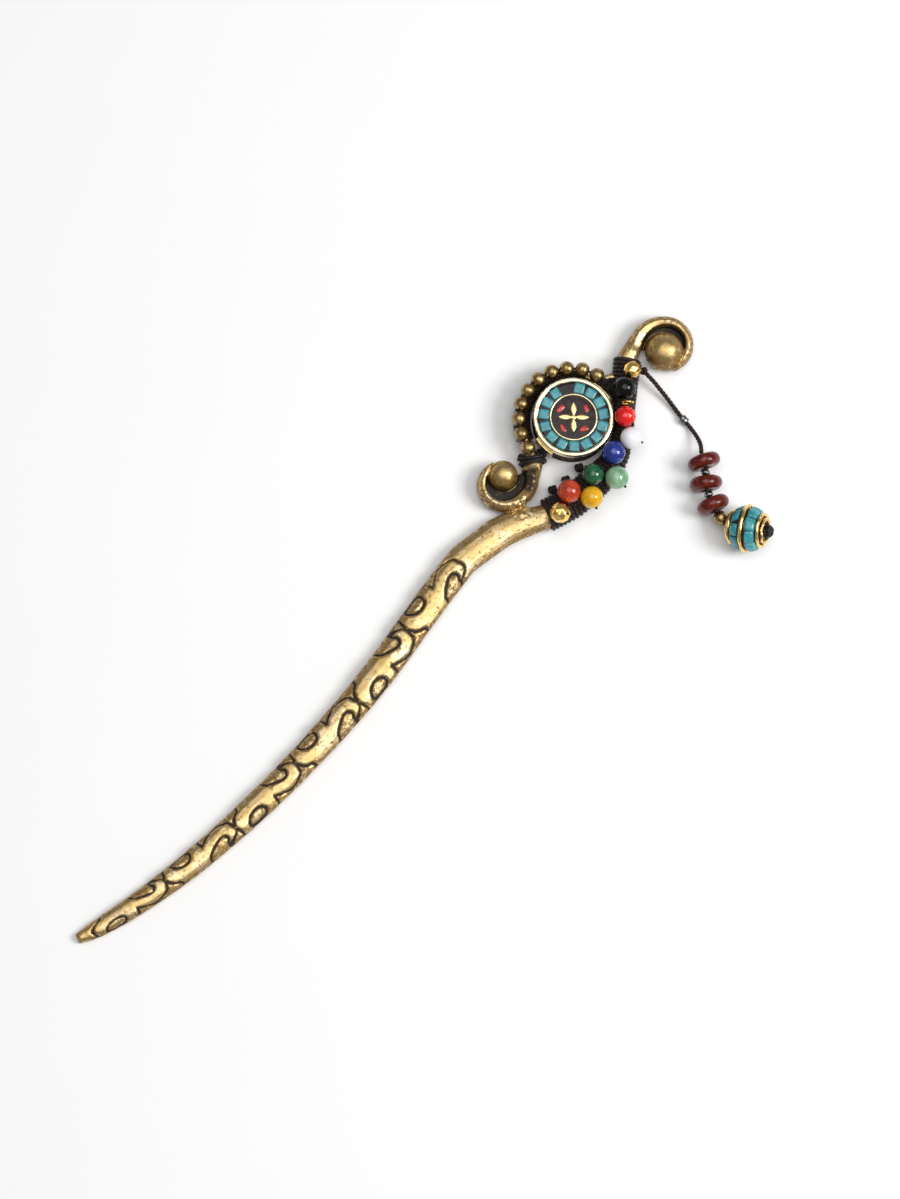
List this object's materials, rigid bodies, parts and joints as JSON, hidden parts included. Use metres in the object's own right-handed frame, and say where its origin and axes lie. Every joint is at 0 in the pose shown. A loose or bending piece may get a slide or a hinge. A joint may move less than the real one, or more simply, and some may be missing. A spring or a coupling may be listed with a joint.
{
  "type": "decorative hair pin",
  "caption": "Curved brass hair pin with twin scrolls around an inlaid medallion, cord-bound stone beads, and a beaded dangle on a free cord.",
  "frame": {"origin": "centre of the medallion's flat back face, which lies on the table", "axes": "+X from the tip of the prong to the head, +Y across the pin towards the ring beads, +Z out of the decorated side"},
  "size_m": [0.1856, 0.0605, 0.0102],
  "materials": {
    "antique_brass": "satin, with dark patina in the grooves",
    "waxed_cord": "waxed twisted cord",
    "black_thread": "waxed thread",
    "dangle_cord": "twisted ply cord",
    "dark_resin": "glossy",
    "polished_brass": "polished",
    "turquoise": "polished",
    "coral": "polished",
    "faceted_gold": "polished facets",
    "onyx_stone": "polished",
    "red_stone": "polished",
    "white_stone": "polished",
    "lapis_stone": "polished, mottled",
    "dark_green_stone": "polished, mottled",
    "light_green_stone": "polished, translucent",
    "carnelian_stone": "polished, mottled",
    "amber_stone": "polished resin",
    "bead_brass": "antique",
    "silver": "polished",
    "dark_wood": "lacquered",
    "black_mastic": "semi-gloss",
    "hammered_gold": "hammered"
  },
  "bodies": {
    "pin": {"frame": "antique_brass", "binding_lower": "waxed_cord", "binding_upper": "waxed_cord", "loop_binding": "waxed_cord", "collar_binding": "waxed_cord", "binding_knots": "black_thread", "macrame_knot": "black_thread", "medallion_core": "dark_resin", "medallion_rim": "polished_brass", "medallion_inner_ring": "polished_brass", "turquoise_tiles": "turquoise", "coral_chips": "coral", "rosette_motif": "polished_brass", "medallion_back_plate": "polished_brass", "end_plate_left": "polished_brass", "end_plate_right": "polished_brass", "medallion_cord": "black_thread", "spacer_ring": "polished_brass", "bead_stitches": "black_thread", "ring_bead_thread": "black_thread", "gold_bead_upper": "faceted_gold", "onyx_bead": "onyx_stone", "red_bead": "red_stone", "white_bead": "white_stone", "lapis_bead": "lapis_stone", "dark_green_bead": "dark_green_stone", "light_green_bead": "light_green_stone", "carnelian_bead": "carnelian_stone", "amber_bead": "amber_stone", "gold_bead_lower": "faceted_gold", "ring_bead_1": "bead_brass", "ring_bead_2": "bead_brass", "ring_bead_3": "bead_brass", "ring_bead_4": "bead_brass", "ring_bead_5": "bead_brass", "ring_bead_6": "bead_brass", "ring_bead_7": "bead_brass", "ring_bead_8": "bead_brass", "ring_bead_9": "bead_brass", "ring_bead_10": "bead_brass", "dangle_knot": "black_thread"},
    "dangle": {"dangle_cord_upper": "dangle_cord", "crimp_bead": "silver"},
    "dangle_end": {"dangle_cord_lower": "dangle_cord", "spacer_bead_1": "silver", "spacer_bead_2": "silver", "end_knot": "black_thread"},
    "disc_1": {"disc_bead_1": "dark_wood"},
    "disc_2": {"disc_bead_2": "dark_wood"},
    "disc_3": {"disc_bead_3": "dark_wood"},
    "brass": {"brass_bead": "bead_brass"},
    "ball": {"mosaic_ball_core": "black_mastic", "mosaic_ball_tiles": "turquoise", "mosaic_ball_bands": "hammered_gold"}
  },
  "joints": [
    {"name": "dangle_swing", "type": "hinge", "parent": "pin", "child": "dangle", "pos_m": [0.0186, -0.0029, 0.0032], "axis": [0, 0, 1], "range_deg": [-30, 40]},
    {"name": "dangle_lift", "type": "hinge", "parent": "dangle", "child": "dangle_end", "pos_m": [0.0177, -0.0162, 0.001], "axis": [-1, 0, 0], "range_deg": [0, 75]},
    {"name": "disc_1_spin", "type": "hinge", "parent": "dangle_end", "child": "disc_1", "pos_m": [0.0137, -0.02585, 0.0036], "axis": [-0.4603, -0.8878, 0], "continuous": true},
    {"name": "disc_2_spin", "type": "hinge", "parent": "dangle_end", "child": "disc_2", "pos_m": [0.0106, -0.0295, 0.0036], "axis": [-0.6, -0.8, 0], "continuous": true},
    {"name": "disc_3_spin", "type": "hinge", "parent": "dangle_end", "child": "disc_3", "pos_m": [0.00845, -0.0338, 0.0036], "axis": [-0.3657, -0.9308, 0], "continuous": true},
    {"name": "brass_bead_spin", "type": "hinge", "parent": "dangle_end", "child": "brass", "pos_m": [0.00755, -0.03695, 0.00355], "axis": [-0.1028, -0.9941, -0.0343], "continuous": true},
    {"name": "mosaic_ball_spin", "type": "hinge", "parent": "dangle_end", "child": "ball", "pos_m": [0.0097, -0.0427, 0.005], "axis": [0.4985, -0.7754, 0.3877], "continuous": true}
  ]
}
